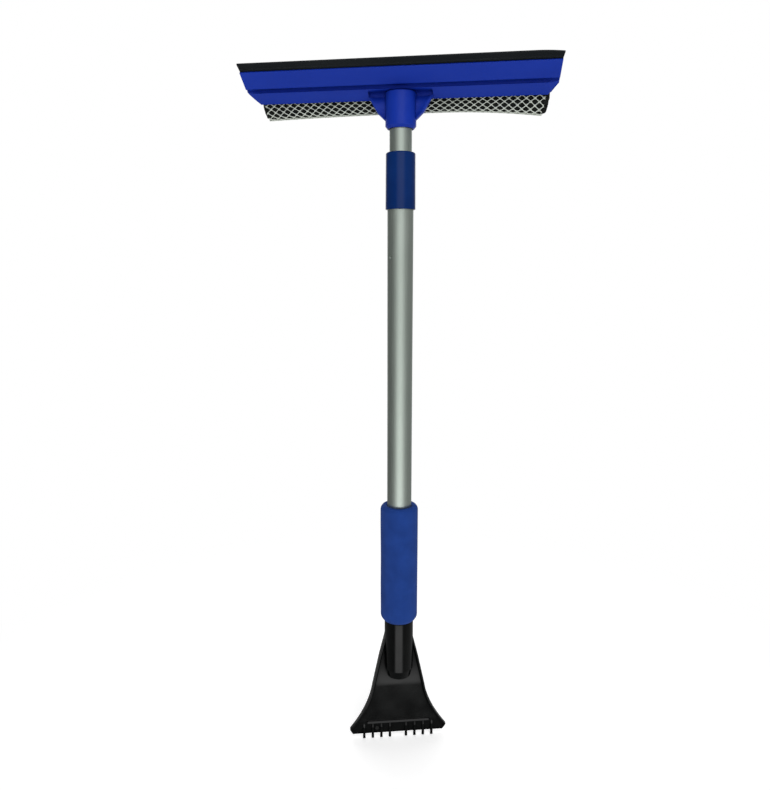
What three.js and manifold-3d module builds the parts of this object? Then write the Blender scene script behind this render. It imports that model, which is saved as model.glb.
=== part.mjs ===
// Telescopic windscreen squeegee: a wide head with a rubber blade and a netted sponge, a twist-lock
// telescopic pole with a foam grip, and an ice scraper at the lower end.
// Millimetres, +Z up along the pole. The origin is on the pole's axis, near the middle of the foam grip.
// The front of the tool faces -Y. In sections, "forward" is the distance in front of the pole's axis.

import * as THREE from 'three';
import { mergeVertices } from 'three/addons/utils/BufferGeometryUtils.js';
import Module from 'manifold-3d';

const wasm = await Module();
wasm.setup();

// ---------------------------------------------------------------- driving dimensions

const touchGap = 0.3;             // between pieces that touch on the real tool
const runningGap = 0.1;           // between the inner tube and the collar's lip
const roundSegments = 36;
const smallSegments = 12;

const headTurn = THREE.MathUtils.degToRad(-8.4);      // the head, seen from above, about the pole
const scraperTurn = THREE.MathUtils.degToRad(5.5);

const outerTubeRadius = 11;
const outerTubeWall = 1;
const outerTubeBottom = -98;
const outerTubeTop = 357.7;
const stopHeight = 278.6;         // the punched stop that keeps the inner tube in
const stopAngle = THREE.MathUtils.degToRad(-140);
const stopRadius = 1.3;
const stopReach = 0.6;            // how far the punched stop stands into the bore

const innerTubeRadius = 9.3;
const innerTubeWall = 0.8;
const innerTubeBottom = -78;
const innerTubeTop = 405;

const gripRadius = 16.95;
const gripTop = 58;
const gripBottom = -54.4;
const gripEndRounding = 5;

const collarBottom = 318.2;
const collarTop = 364.1;
const collarRadiusBelow = 12.65;
const collarRadiusAbove = 12.4;
const collarShoulder = 3.2;
const collarLip = 6.1;            // the solid lip above the outer tube's end

const journalRadius = 5;
const journalOffset = 1;          // the lock plug's journal is off the axis by this much
const lockFlangeHeight = 2;
const lockJournalLength = 13.4;
const lockRingRadius = 9.7;
const lockRingBore = 6.3;
const lockRingSlit = 2;
const lockStubRadius = 3;
const lockCapHeight = 3;

const pinRadius = 1.25;
const pinHeight = -64;
const screwShankRadius = 1.5;
const screwClearance = 0.3;
const screwHoleRadius = screwShankRadius + screwClearance;
const screwHead = [3.1, 2.1];     // radius and height
const smallScrewHead = [2.8, 1.9];

const socketRadius = 12.8;        // the head's socket for the inner tube
const socketMouth = 382.6;
const socketClosedTop = 411;
const socketMouthChamfer = 1.6;
const headScrewHeight = 389;

const panelTilt = THREE.MathUtils.degToRad(40);       // the blade and upper panel, above the horizontal
const creaseForward = 11.6;       // the crease under the upper panel
const creaseHeight = 415.2;
const bladeLip = 15.2;            // from the crease to the blade's slot, along the panel
const bladeTip = 21.5;            // from the crease to the blade's tip, along the panel
const bladeThickness = 2;
const bladeSetback = 1.8;         // from the panel's face to the blade's face
const headShift = -1.2;           // the housing and blade sit a little to -X of the pole's axis
const headHalfWidth = 127;
const bladeTipHalfWidth = 128.8;
const lowerEdgeForward = -5;
const lowerEdgeHeight = 406.5;
const lowerEdgeHalfWidth = 119.2;
const trayFace = -1;              // the wall that backs the sponge, forward of the axis
const trayThickness = 2.6;
const trayTop = 436.5;

const ribPitch = 28;              // the cross ribs in the trough behind the blade
const ribsEachSide = 4;
const ribHalfThickness = 0.9;
const webFront = 3.5;             // the gussets either side of the socket
const webBack = -1.5;
const pocketHalfWidth = 26.5;     // the recess under the crease, over the webs
const pocketBottom = 407.7;
const pocketTop = 411.3;
const pocketBack = 0.8;
const bossRadius = 3.4;           // the bosses that take the clamp's screws
const bossFront = 9;

const spongeHalfWidth = 120.8;
const spongeLowTaper = 3;         // the sponge is this much shorter at each end of its underside
const spongeLow = 397.4;
const spongeFullHeight = 408;
const spongeArch = 35;            // the foam's underside is highest here, to +X of the socket
const spongeSag = 5.3;            // and hangs this much lower at its +X end
const spongeSagBehind = 2.8;      // and this much at the other
const spongeSagTop = 409.2;       // nothing above this height sags
const netThickness = 0.7;
const netShortfall = 3.6;         // the net stops this far from the sponge's +X end
const socketRelief = 13.3;        // the sponge and net give way round the socket

const clampBottom = 428.6;
const clampHalfWidth = 114;
const clampThickness = 2.5;
const clampScrewHeight = 432.4;
const clampScrewPlaces = [-105, -38, 38, 105];

const scraperSocketRadius = 13.4;
const scraperSocketTop = gripBottom - touchGap;
const scraperSocketEnd = -103.7;
const scraperScrewHeight = -80;
const fanTop = -64;
const flareStart = -124;          // where the fan's straight sides begin to curve out
const rimWidth = 2.5;
const ridgeHalfWidth = 30.2;
const scrapingEdge = -177.6;
const toothPlaces = [7.9, 16.3, 24.7, 33.1];
const toothTip = -182.2;

// ---------------------------------------------------------------- solids

function solidOf(geometry) {
  const bare = geometry.clone();
  bare.deleteAttribute('normal');
  bare.deleteAttribute('uv');
  const merged = mergeVertices(bare, 1e-4);
  const vertProperties = new Float32Array(merged.attributes.position.array);
  const triVerts = new Uint32Array(merged.index.array);
  return new wasm.Manifold(new wasm.Mesh({ numProp: 3, vertProperties, triVerts }));
}

function geometryOf(solid) {
  const mesh = solid.getMesh();
  const geometry = new THREE.BufferGeometry();
  geometry.setAttribute('position', new THREE.BufferAttribute(mesh.vertProperties, 3));
  geometry.setIndex(new THREE.BufferAttribute(mesh.triVerts, 1));
  geometry.computeVertexNormals();
  return geometry;
}

// A body turned about the pole's axis from [radius, height] points that run up its outside.
function turned(profile, segments = roundSegments) {
  const points = profile.map(([radius, height]) => new THREE.Vector2(radius, height));
  return new THREE.LatheGeometry(points, segments).rotateX(Math.PI / 2);
}

// A plain round bar along Z.
function upright(radius, bottom, top, segments = roundSegments) {
  return turned([[0, bottom], [radius, bottom], [radius, top], [0, top]], segments);
}

// A round bar along Y, from one forward distance to a lesser one.
function levelBar(radius, from, to, x, height) {
  const bar = new THREE.CylinderGeometry(radius, radius, from - to, smallSegments);
  return bar.translate(x, -(from + to) / 2, height);
}

// A section of [forward, height] points run across the tool. reach(forward, height, side) gives each
// end's distance from the middle, so the ends may be slanted. sag(x, height) lowers a limp piece.
function across(section, reach, sag) {
  const outline = new THREE.Shape(section.map(([forward, height]) => new THREE.Vector2(forward, height)));
  const steps = sag ? 8 : 1;
  const geometry = new THREE.ExtrudeGeometry(outline, { depth: 1, steps, bevelEnabled: false });
  const place = geometry.attributes.position;
  for (let i = 0; i < place.count; i += 1) {
    const forward = place.getX(i);
    const height = place.getY(i);
    const share = 1 - 2 * place.getZ(i);
    const x = share * reach(forward, height, share);
    place.setXYZ(i, x, -forward, sag ? height - sag(x, height) : height);
  }
  geometry.computeVertexNormals();
  return geometry;
}

// A closed outline of [x, height] points.
function outlineShape(points) {
  return new THREE.Shape(points.map(([x, height]) => new THREE.Vector2(x, height)));
}

// A front outline given depth, from one forward distance back to a lesser one.
function frontal(shape, from, to) {
  const geometry = new THREE.ExtrudeGeometry(shape, {
    depth: from - to,
    bevelEnabled: false,
    curveSegments: 6,
  });
  return geometry.rotateX(Math.PI / 2).translate(0, -to, 0);
}

// The corners [forward, height, radius] of a section, rounded.
function rounded(corners, steps = 5) {
  const points = [];
  corners.forEach(([forward, height, radius], i) => {
    const corner = new THREE.Vector2(forward, height);
    const before = corners[(i + corners.length - 1) % corners.length];
    const after = corners[(i + 1) % corners.length];
    const back = new THREE.Vector2(before[0], before[1]).sub(corner).normalize();
    const on = new THREE.Vector2(after[0], after[1]).sub(corner).normalize();
    const halfAngle = Math.acos(THREE.MathUtils.clamp(back.dot(on), -1, 1)) / 2;
    const trim = radius / Math.tan(halfAngle);
    const start = corner.clone().addScaledVector(back, trim);
    const end = corner.clone().addScaledVector(on, trim);
    const curve = new THREE.QuadraticBezierCurve(start, corner, end);
    curve.getPoints(steps).forEach((p) => points.push([p.x, p.y]));
  });
  return points;
}

// The same points, each moved square to the path. A positive distance goes to the path's right.
function offsetPath(points, distance) {
  return points.map(([forward, height], i) => {
    const before = points[Math.max(i - 1, 0)];
    const after = points[Math.min(i + 1, points.length - 1)];
    const along = new THREE.Vector2(after[0] - before[0], after[1] - before[1]).normalize();
    return [forward + along.y * distance, height - along.x * distance];
  });
}

function clampedRise(height, low, high) {
  return THREE.MathUtils.clamp((height - low) / (high - low), 0, 1);
}

// ---------------------------------------------------------------- materials

function finish(color, roughness, metalness = 0) {
  return new THREE.MeshStandardMaterial({ color, roughness, metalness });
}

const bluePlastic = 0x18349e;
const navyGloss = 0x14306f;
const blueFoam = 0x1b3a82;
const aluminium = 0xaab1ab;
const blackRubber = 0x131613;
const blackFoam = 0x0c0e0c;
const paleNet = 0xc6ccc6;
const blackPlastic = 0x0f1112;
const steel = 0x8b8f92;
const whitePlastic = 0xd6d6cf;

function piece(name, geometry, material) {
  const mesh = new THREE.Mesh(geometry, material);
  mesh.name = name;
  return mesh;
}

// ---------------------------------------------------------------- pole and grip

function tubeGeometry(radius, wall, bottom, top) {
  const bore = radius - wall;
  return turned([[bore, bottom], [radius, bottom], [radius, top], [bore, top], [bore, bottom]]);
}

function outerTube() {
  const bore = outerTubeRadius - outerTubeWall;
  const tube = tubeGeometry(outerTubeRadius, outerTubeWall, outerTubeBottom, outerTubeTop);
  const bump = new THREE.SphereGeometry(stopRadius, smallSegments, 8);
  const bumpDistance = bore - stopReach + stopRadius;
  const dent = new THREE.SphereGeometry(stopRadius, smallSegments, 8);
  const dentDistance = outerTubeRadius + stopRadius - stopReach;
  bump.translate(bumpDistance * Math.cos(stopAngle), bumpDistance * Math.sin(stopAngle), stopHeight);
  dent.translate(dentDistance * Math.cos(stopAngle), dentDistance * Math.sin(stopAngle), stopHeight);
  const hole = levelBar(screwHoleRadius, 0, -outerTubeRadius - 1, 0, scraperScrewHeight);
  const turnedHole = hole.rotateZ(scraperTurn);
  const solid = solidOf(tube).add(solidOf(bump)).subtract(solidOf(dent)).subtract(solidOf(turnedHole));
  return piece('outer_tube', geometryOf(solid), finish(aluminium, 0.38, 0.9));
}

// The hole for the cross pin, through the inner tube and the lock plug.
function pinHole() {
  const hole = upright(pinRadius + touchGap, -innerTubeRadius - 1, innerTubeRadius + 1, smallSegments);
  return hole.rotateY(Math.PI / 2).translate(0, 0, pinHeight);
}

function innerTube() {
  const tube = tubeGeometry(innerTubeRadius, innerTubeWall, innerTubeBottom, innerTubeTop);
  const screwHole = levelBar(screwHoleRadius, 0, -innerTubeRadius - 1, 0, headScrewHeight);
  const solid = solidOf(tube).subtract(solidOf(screwHole)).subtract(solidOf(pinHole()));
  return piece('inner_tube', geometryOf(solid), finish(aluminium, 0.38, 0.9));
}

function collar() {
  const sleeveBore = outerTubeRadius + touchGap;
  const lipBore = innerTubeRadius + runningGap;
  const shoulderStart = collarTop - collarShoulder;
  const shoulderSteps = 4;
  const shoulder = [];
  for (let i = 0; i <= shoulderSteps; i += 1) {
    const angle = (i / shoulderSteps) * (Math.PI / 2);
    const radius = collarRadiusAbove - collarShoulder * (1 - Math.cos(angle));
    shoulder.push([radius, shoulderStart + collarShoulder * Math.sin(angle)]);
  }
  const profile = [
    [sleeveBore, collarBottom],
    [collarRadiusBelow - 0.5, collarBottom],
    [collarRadiusBelow, collarBottom + 0.6],
    ...shoulder,
    [lipBore, collarTop],
    [lipBore, collarTop - collarLip],
    [sleeveBore, collarTop - collarLip],
    [sleeveBore, collarBottom],
  ];
  return piece('collar', turned(profile), finish(navyGloss, 0.22));
}

function foamGrip() {
  const bore = outerTubeRadius + touchGap;
  const ends = [];
  const steps = 4;
  for (let i = 0; i <= steps; i += 1) {
    const angle = (i / steps) * (Math.PI / 2);
    const radius = gripRadius - gripEndRounding * (1 - Math.sin(angle));
    ends.push([radius, gripEndRounding * (1 - Math.cos(angle))]);
  }
  const below = ends.map(([radius, inward]) => [radius, gripBottom + inward]);
  const above = ends.reverse().map(([radius, inward]) => [radius, gripTop - inward]);
  const profile = [
    [bore, gripBottom],
    ...below,
    ...above,
    [bore, gripTop],
    [bore, gripBottom],
  ];
  return piece('foam_grip', turned(profile), finish(blueFoam, 0.95));
}

// ---------------------------------------------------------------- twist lock inside the pole

const flangeTop = innerTubeBottom - touchGap;
const journalTop = flangeTop - lockFlangeHeight;
const journalBottom = journalTop - lockJournalLength;

function lockPlug() {
  const body = upright(innerTubeRadius - innerTubeWall - touchGap, flangeTop - 1, flangeTop + 26);
  const flange = upright(innerTubeRadius, journalTop, flangeTop);
  const journal = upright(journalRadius, journalBottom, journalTop + 1).translate(journalOffset, 0, 0);
  const stubBottom = journalBottom - lockCapHeight - touchGap;
  const stub = upright(lockStubRadius, stubBottom, journalBottom + 1, smallSegments);
  const solid = solidOf(body).add(solidOf(flange)).add(solidOf(journal)).add(solidOf(stub));
  return piece('lock_plug', geometryOf(solid.subtract(solidOf(pinHole()))), finish(whitePlastic, 0.5));
}

function lockRing() {
  const bottom = journalBottom + touchGap;
  const top = journalTop - touchGap;
  const middle = (bottom + top) / 2;
  const ring = turned([
    [lockRingBore, bottom],
    [lockRingRadius - 0.5, bottom],
    [lockRingRadius, bottom + 0.8],
    [lockRingRadius, middle - 1],
    [lockRingRadius - 0.4, middle],
    [lockRingRadius, middle + 1],
    [lockRingRadius, top - 0.8],
    [lockRingRadius - 0.5, top],
    [lockRingBore, top],
    [lockRingBore, bottom],
  ]);
  const slit = new THREE.BoxGeometry(lockRingRadius + 1, lockRingSlit, top - bottom + 2);
  slit.translate(-(lockRingRadius + 1) / 2, 0, middle);
  return piece('lock_ring', geometryOf(solidOf(ring).subtract(solidOf(slit))), finish(whitePlastic, 0.5));
}

function lockCap() {
  const bore = lockStubRadius + touchGap;
  const top = journalBottom - touchGap;
  const bottom = top - lockCapHeight;
  const radius = innerTubeRadius;
  const profile = [
    [bore, bottom],
    [radius - 0.8, bottom],
    [radius, bottom + 0.8],
    [radius, top],
    [bore, top],
    [bore, bottom],
  ];
  return piece('lock_cap', turned(profile), finish(blackPlastic, 0.5));
}

function plugPin() {
  const halfLength = innerTubeRadius - 0.1;
  const pin = upright(pinRadius, -halfLength, halfLength, smallSegments).rotateY(Math.PI / 2);
  return piece('plug_pin', pin.translate(0, 0, pinHeight), finish(steel, 0.35, 1));
}

// ---------------------------------------------------------------- screws

// A pan-head screw lying along Y with its head at the back: seat is the forward distance of the
// face its head sits on, tip that of its point.
function screw(name, seat, tip, head, x, height) {
  const [headRadius, headHeight] = head;
  const under = seat - touchGap;
  const back = under - headHeight;
  const profile = [
    [0, -tip],
    [screwShankRadius * 0.4, -tip],
    [screwShankRadius, -tip + 1.5],
    [screwShankRadius, -under],
    [headRadius, -under],
    [headRadius, -under + headHeight * 0.45],
    [headRadius * 0.72, -back - headHeight * 0.08],
    [headRadius * 0.5, -back],
    [0, -back],
  ];
  const points = profile.map(([radius, along]) => new THREE.Vector2(radius, along));
  const body = solidOf(new THREE.LatheGeometry(points, smallSegments));
  const slotLength = headRadius * 1.1;
  const slotWidth = headRadius * 0.26;
  const slotDepth = headHeight * 0.9;
  const upDown = new THREE.BoxGeometry(slotWidth, slotDepth, slotLength).translate(0, -back, 0);
  const sideways = new THREE.BoxGeometry(slotLength, slotDepth, slotWidth).translate(0, -back, 0);
  const cross = solidOf(upDown).add(solidOf(sideways));
  const mesh = piece(name, geometryOf(body.subtract(cross)), finish(steel, 0.35, 1));
  mesh.position.set(x, 0, height);
  return mesh;
}

// ---------------------------------------------------------------- head

// A point of the upper panel's frame: along runs from the crease up to the blade's tip, and
// behind is the distance behind the panel's front face.
function onPanel(along, behind) {
  const forward = creaseForward + along * Math.cos(panelTilt) - behind * Math.sin(panelTilt);
  const height = creaseHeight + along * Math.sin(panelTilt) + behind * Math.cos(panelTilt);
  return [forward, height];
}

function housingReach(forward, height) {
  const hip = lowerEdgeHalfWidth + (height - lowerEdgeHeight) * 1.1;
  const flare = headHalfWidth + Math.max(0, height - creaseHeight) * 0.085;
  return Math.min(hip, flare, headHalfWidth + 0.9);
}

function housingSection() {
  const trayFront = trayFace + trayThickness;
  const beadBack = bladeSetback + 4.5;
  const slotFront = bladeSetback - touchGap;
  const slotBack = bladeSetback + bladeThickness + touchGap;
  const holderBack = beadBack + 1.5;
  return [
    onPanel(bladeLip, 0),
    [creaseForward, creaseHeight],
    [creaseForward - 2.8, creaseHeight - 0.6],
    [creaseForward - 1.7, creaseHeight - 2.6],
    [lowerEdgeForward, lowerEdgeHeight],
    [lowerEdgeForward - 1, lowerEdgeHeight + 2.4],
    [trayFace, lowerEdgeHeight + 4.45],
    [trayFace, trayTop],
    [trayFront, trayTop],
    [trayFront, lowerEdgeHeight + 5.5],
    [creaseForward - 4.4, creaseHeight + 0.4],
    onPanel(1, 2.7),
    onPanel(6.5, 2.8),
    onPanel(6.5, holderBack),
    onPanel(bladeLip, holderBack),
    onPanel(bladeLip, slotBack),
    onPanel(bladeLip - 2, slotBack),
    onPanel(bladeLip - 2, beadBack),
    onPanel(bladeLip - 5.8, beadBack),
    onPanel(bladeLip - 5.8, slotFront),
    onPanel(bladeLip, slotFront),
  ];
}

// Cross ribs stiffen the trough between the blade holder and the sponge's wall.
function troughRib(x) {
  const section = [[0.5, 411.5], [13.6, 419], [12.6, 424], [0.5, 429]];
  return across(section, () => ribHalfThickness).translate(x, 0, 0);
}

function headHousing() {
  let solid = solidOf(across(housingSection(), housingReach).translate(headShift, 0, 0));
  for (let i = -ribsEachSide; i <= ribsEachSide; i += 1) {
    solid = solid.add(solidOf(troughRib(i * ribPitch)));
  }
  const webOutline = [
    [-27.4, 410.6],
    [-26.6, 408],
    [-19.2, 395.3],
    [-12.2, 388.6],
    [12.2, 388.6],
    [19.2, 395.3],
    [26.6, 408],
    [27.4, 410.6],
  ];
  const webs = frontal(outlineShape(webOutline), webFront, webBack);
  const socket = turned([
    [0, socketMouth],
    [socketRadius - socketMouthChamfer, socketMouth],
    [socketRadius, socketMouth + socketMouthChamfer * 1.3],
    [socketRadius, socketClosedTop - 1],
    [socketRadius - 1, socketClosedTop],
    [0, socketClosedTop],
  ]);
  const pocketOutline = [
    [-pocketHalfWidth, pocketBottom],
    [pocketHalfWidth, pocketBottom],
    [pocketHalfWidth, pocketTop],
    [-pocketHalfWidth, pocketTop],
  ];
  const pocket = frontal(outlineShape(pocketOutline), creaseForward + 1, pocketBack);
  solid = solid.add(solidOf(webs)).subtract(solidOf(pocket)).add(solidOf(socket));
  for (const x of clampScrewPlaces) {
    const boss = levelBar(bossRadius, bossFront, trayFace + 1, x, clampScrewHeight);
    const hole = levelBar(screwHoleRadius, bossFront - 1.4, trayFace - 4, x, clampScrewHeight);
    solid = solid.add(solidOf(boss)).subtract(solidOf(hole));
  }
  const bore = upright(innerTubeRadius + touchGap, socketMouth - 1, innerTubeTop + touchGap);
  const screwHole = levelBar(screwHoleRadius, 0, -socketRadius - 1, 0, headScrewHeight);
  solid = solid.subtract(solidOf(bore)).subtract(solidOf(screwHole));
  return piece('head_housing', geometryOf(solid), finish(bluePlastic, 0.4));
}

function squeegeeBlade() {
  const back = bladeSetback + bladeThickness;
  const foot = bladeLip - 5.5;
  const bead = bladeLip - 2.3;
  const section = [
    onPanel(bladeTip, bladeSetback),
    onPanel(foot, bladeSetback),
    onPanel(foot, back + 2.2),
    onPanel(bead, back + 2.2),
    onPanel(bead, back),
    onPanel(bladeTip, back),
  ];
  const footHeight = onPanel(foot, bladeSetback)[1];
  const tipHeight = onPanel(bladeTip, bladeSetback)[1];
  const reach = (forward, height) => {
    const rise = clampedRise(height, footHeight, tipHeight);
    return headHalfWidth + (bladeTipHalfWidth - headHalfWidth) * rise;
  };
  const lip = across(section, reach).translate(headShift, 0, 0);
  return piece('squeegee_blade', lip, finish(blackRubber, 0.6));
}

// The netted side of the sponge, from under the housing's lower edge round the back to the clamp.
const spongeUnder = [
  [-9, 409.2, 1.5],
  [-9, 397.6, 6.5],
  [-40.5, 404.3, 11],
  [-42.5, 436.5, 11],
  [-9.5, 435, 4.5],
  [-7.4, 427.2, 2.5],
];
const spongeInside = [[-1.6, 427.2, 0.4], [-1.6, 412.2, 0.4]];

function spongeReach(forward, height) {
  const taper = spongeLowTaper * (1 - clampedRise(height, spongeLow, spongeFullHeight));
  return spongeHalfWidth - taper;
}

function sagOfSponge(x, height) {
  const share = 1 - clampedRise(height, spongeLow, spongeSagTop);
  const end = x > spongeArch ? spongeHalfWidth : -spongeHalfWidth;
  const hang = x > spongeArch ? spongeSag : spongeSagBehind;
  return hang * share * ((x - spongeArch) / (end - spongeArch)) ** 2;
}

function clearSocket(solid) {
  const relief = upright(socketRelief, socketMouth, socketClosedTop + 1.5);
  return geometryOf(solid.subtract(solidOf(relief)));
}

function sponge() {
  const section = rounded([...spongeUnder, ...spongeInside]);
  const body = solidOf(across(section, spongeReach, sagOfSponge));
  return piece('sponge', clearSocket(body), finish(blackFoam, 1));
}

function spongeNet() {
  const steps = 5;
  const outline = rounded([...spongeUnder, ...spongeInside], steps);
  const covered = outline.slice(steps - 1, (steps + 1) * spongeUnder.length);
  const clampEdge = [-2.6, 427.2];
  covered.push(clampEdge);
  const inner = offsetPath(covered, -touchGap);
  const outer = offsetPath(covered, -touchGap - netThickness);
  const reach = (forward, height, side) => {
    const inset = side > 0 ? netShortfall : 0.6;
    return spongeReach(forward, height) - inset;
  };
  const body = solidOf(across([...outer, ...inner.reverse()], reach, sagOfSponge));
  return piece('sponge_net', clearSocket(body), finish(paleNet, 0.8));
}

function netClamp() {
  const outline = new THREE.Shape();
  const corner = 2;
  const top = trayTop - 0.2;
  outline.moveTo(-clampHalfWidth + corner, clampBottom);
  outline.lineTo(clampHalfWidth - corner, clampBottom);
  outline.absarc(clampHalfWidth - corner, clampBottom + corner, corner, -Math.PI / 2, 0);
  outline.absarc(clampHalfWidth - corner, top - corner, corner, 0, Math.PI / 2);
  outline.absarc(-clampHalfWidth + corner, top - corner, corner, Math.PI / 2, Math.PI);
  outline.absarc(-clampHalfWidth + corner, clampBottom + corner, corner, Math.PI, Math.PI * 1.5);
  for (const x of clampScrewPlaces) {
    const hole = new THREE.Path();
    hole.absarc(x, clampScrewHeight, screwHoleRadius, 0, Math.PI * 2);
    outline.holes.push(hole);
  }
  const front = trayFace - touchGap;
  const strip = frontal(outline, front, front - clampThickness);
  return piece('net_clamp', strip, finish(bluePlastic, 0.4));
}

function clampScrews() {
  const seat = trayFace - touchGap - clampThickness;
  const tip = bossFront - 2.5;
  return clampScrewPlaces.map((x, i) => {
    return screw(`clamp_screw_${i + 1}`, seat, tip, smallScrewHead, x, clampScrewHeight);
  });
}

// ---------------------------------------------------------------- ice scraper

// The fan's front outline: straight sides that flare out to the corners. It is drawn in by inset
// along the straight sides and by flareInset at the corners.
function fanOutline(inset, flareInset) {
  const straight = (height) => 13.9 + (-72.4 - height) * 0.216 - inset;
  const flare = new THREE.QuadraticBezierCurve(
    new THREE.Vector2(straight(flareStart), flareStart),
    new THREE.Vector2(28.9 - flareInset, -147.9 - flareInset * 0.6),
    new THREE.Vector2(46.9 - flareInset, -170.5 - flareInset),
  );
  const half = [[straight(fanTop), fanTop], ...flare.getPoints(6).map((p) => [p.x, p.y])];
  half.push([44 - flareInset, scrapingEdge - (inset > 0 ? 8 : 0)]);
  const mirrored = half.map(([x, height]) => [-x, height]).reverse();
  return outlineShape([...half, ...mirrored].reverse());
}

const panelProfile = [
  [-5.5, fanTop],
  [-8.6, fanTop],
  [-5.4, -128],
  [-5.4, scrapingEdge],
  [-4.4, scrapingEdge],
  [-2.6, -164.6],
  [-1, -121],
];

const rimProfile = [
  [2.6, fanTop],
  [-9.2, fanTop],
  [-7.4, -130],
  [-5.4, -170.5],
  [-5.4, scrapingEdge],
  [-4.2, scrapingEdge],
  [-1.2, -169.6],
  [1.8, -148],
];

function scraperTooth(x) {
  const profile = [
    [-2.6, -165],
    [-4.8, -165],
    [-5, -174],
    [-4.4, toothTip + 0.5],
    [-3.4, toothTip],
    [-2.6, toothTip + 0.5],
    [-1.9, -169],
  ];
  const reach = (forward, height) => 0.7 + 0.5 * clampedRise(height, toothTip, -174);
  return across(profile, reach).translate(x, 0, 0);
}

function scraperBody() {
  const wide = () => 60;
  const fan = solidOf(frontal(fanOutline(0, 0), 10, -14));
  const insideRims = solidOf(frontal(fanOutline(rimWidth, rimWidth - 0.1), 11, -15));
  const panel = fan.intersect(solidOf(across(panelProfile, wide)));
  const rims = fan.subtract(insideRims).intersect(solidOf(across(rimProfile, wide)));
  const socket = turned([
    [0, scraperSocketEnd - 5.8],
    [11, scraperSocketEnd - 5.8],
    [12, scraperSocketEnd - 4.8],
    [12, scraperSocketEnd],
    [scraperSocketRadius - 0.6, scraperSocketEnd],
    [scraperSocketRadius, scraperSocketEnd + 0.8],
    [scraperSocketRadius, scraperSocketTop - 0.5],
    [scraperSocketRadius - 0.5, scraperSocketTop],
    [0, scraperSocketTop],
  ]);
  const ridge = across([[-2.9, -162.3], [-2.9, -166.1], [-1.7, -164.6]], () => ridgeHalfWidth);
  let solid = panel.add(rims).add(solidOf(socket)).add(solidOf(ridge));
  for (const place of toothPlaces) {
    solid = solid.add(solidOf(scraperTooth(place))).add(solidOf(scraperTooth(-place)));
  }
  const bore = turned([
    [0, scraperSocketEnd - 3],
    [7.5, scraperSocketEnd - 3],
    [7.5, outerTubeBottom - 1.2],
    [outerTubeRadius + touchGap, outerTubeBottom - 1.2],
    [outerTubeRadius + touchGap, scraperSocketTop + 1],
    [0, scraperSocketTop + 1],
  ]);
  const screwHole = levelBar(screwHoleRadius, 0, -scraperSocketRadius - 1, 0, scraperScrewHeight);
  solid = solid.subtract(solidOf(bore)).subtract(solidOf(screwHole));
  return piece('scraper_body', geometryOf(solid), finish(blackPlastic, 0.28));
}

// ---------------------------------------------------------------- assembly

const handle = new THREE.Group();
const scraper = new THREE.Group();
scraper.rotation.z = scraperTurn;
scraper.add(scraperBody());
const scraperScrewTip = -outerTubeRadius + 0.9;
scraper.add(screw('scraper_screw', -scraperSocketRadius, scraperScrewTip, screwHead, 0, scraperScrewHeight));
handle.add(outerTube(), collar(), foamGrip(), scraper);

const head = new THREE.Group();
head.rotation.z = headTurn;
head.add(innerTube(), lockPlug(), plugPin(), lockCap());
head.add(headHousing(), squeegeeBlade(), sponge(), spongeNet(), netClamp(), ...clampScrews());
head.add(screw('head_screw', -socketRadius, -6, screwHead, 0, headScrewHeight));

const tool = new THREE.Group();
tool.add(handle, lockRing(), head);

export default tool;
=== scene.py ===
"""The looks of a telescopic windscreen squeegee and ice scraper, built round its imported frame.

Sections and outlines are in millimetres, in the head's or the scraper's own frame: X across the
tool, Z up the pole, and "forward" is the distance in front of the pole's axis, which is -Y.
"""

import math
import random

import bmesh
import bpy
import numpy as np
from mathutils import Matrix, Vector


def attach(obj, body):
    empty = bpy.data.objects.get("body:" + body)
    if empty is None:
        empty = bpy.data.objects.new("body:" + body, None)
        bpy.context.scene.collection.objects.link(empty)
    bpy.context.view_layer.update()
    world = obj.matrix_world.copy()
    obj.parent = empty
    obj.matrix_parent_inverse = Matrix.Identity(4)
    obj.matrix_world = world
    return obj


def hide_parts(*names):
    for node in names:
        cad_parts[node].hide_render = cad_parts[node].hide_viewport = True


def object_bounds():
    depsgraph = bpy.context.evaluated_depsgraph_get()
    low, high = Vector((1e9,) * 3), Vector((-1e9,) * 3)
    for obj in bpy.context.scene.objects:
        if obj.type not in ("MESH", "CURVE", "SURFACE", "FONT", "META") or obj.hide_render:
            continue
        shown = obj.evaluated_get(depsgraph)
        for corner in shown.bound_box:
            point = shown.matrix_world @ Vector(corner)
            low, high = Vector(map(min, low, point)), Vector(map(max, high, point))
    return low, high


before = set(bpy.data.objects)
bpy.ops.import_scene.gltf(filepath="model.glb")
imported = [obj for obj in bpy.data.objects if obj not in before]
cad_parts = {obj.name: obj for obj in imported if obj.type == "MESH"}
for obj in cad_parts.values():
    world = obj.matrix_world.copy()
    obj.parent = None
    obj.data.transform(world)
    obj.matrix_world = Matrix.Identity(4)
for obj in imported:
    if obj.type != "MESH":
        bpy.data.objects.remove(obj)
cad_low, cad_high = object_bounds()

MM = 0.001
HEAD_TURN = math.radians(-8.4)
SCRAPER_TURN = math.radians(5.5)
NO_TURN = 0.0
ROOM_RADIUS = 6                   # the floor and the white dome over it, in metres

# ---- camera and stage


def in_scene(name, data):
    made = bpy.data.objects.new(name, data)
    bpy.context.scene.collection.objects.link(made)
    return made


def add_camera():
    camera = bpy.data.cameras.new("camera")
    camera.sensor_width = 36
    camera.lens = 31
    placed = in_scene("camera", camera)
    placed.location = (-0.01305, -0.593, 0.2692)
    placed.rotation_euler = (math.radians(79.5), 0, 0)
    bpy.context.scene.camera = placed


def soft_light(name, place, aim, size, power):
    """A square softbox that isn't seen in reflections: the world's panels are seen there instead."""
    light = bpy.data.lights.new(name, "AREA")
    light.shape = "SQUARE"
    light.size = size
    light.energy = power
    placed = in_scene(name, light)
    placed.location = place
    placed.rotation_euler = (Vector(aim) - Vector(place)).to_track_quat("-Z", "Y").to_euler()
    placed.visible_glossy = False


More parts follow.
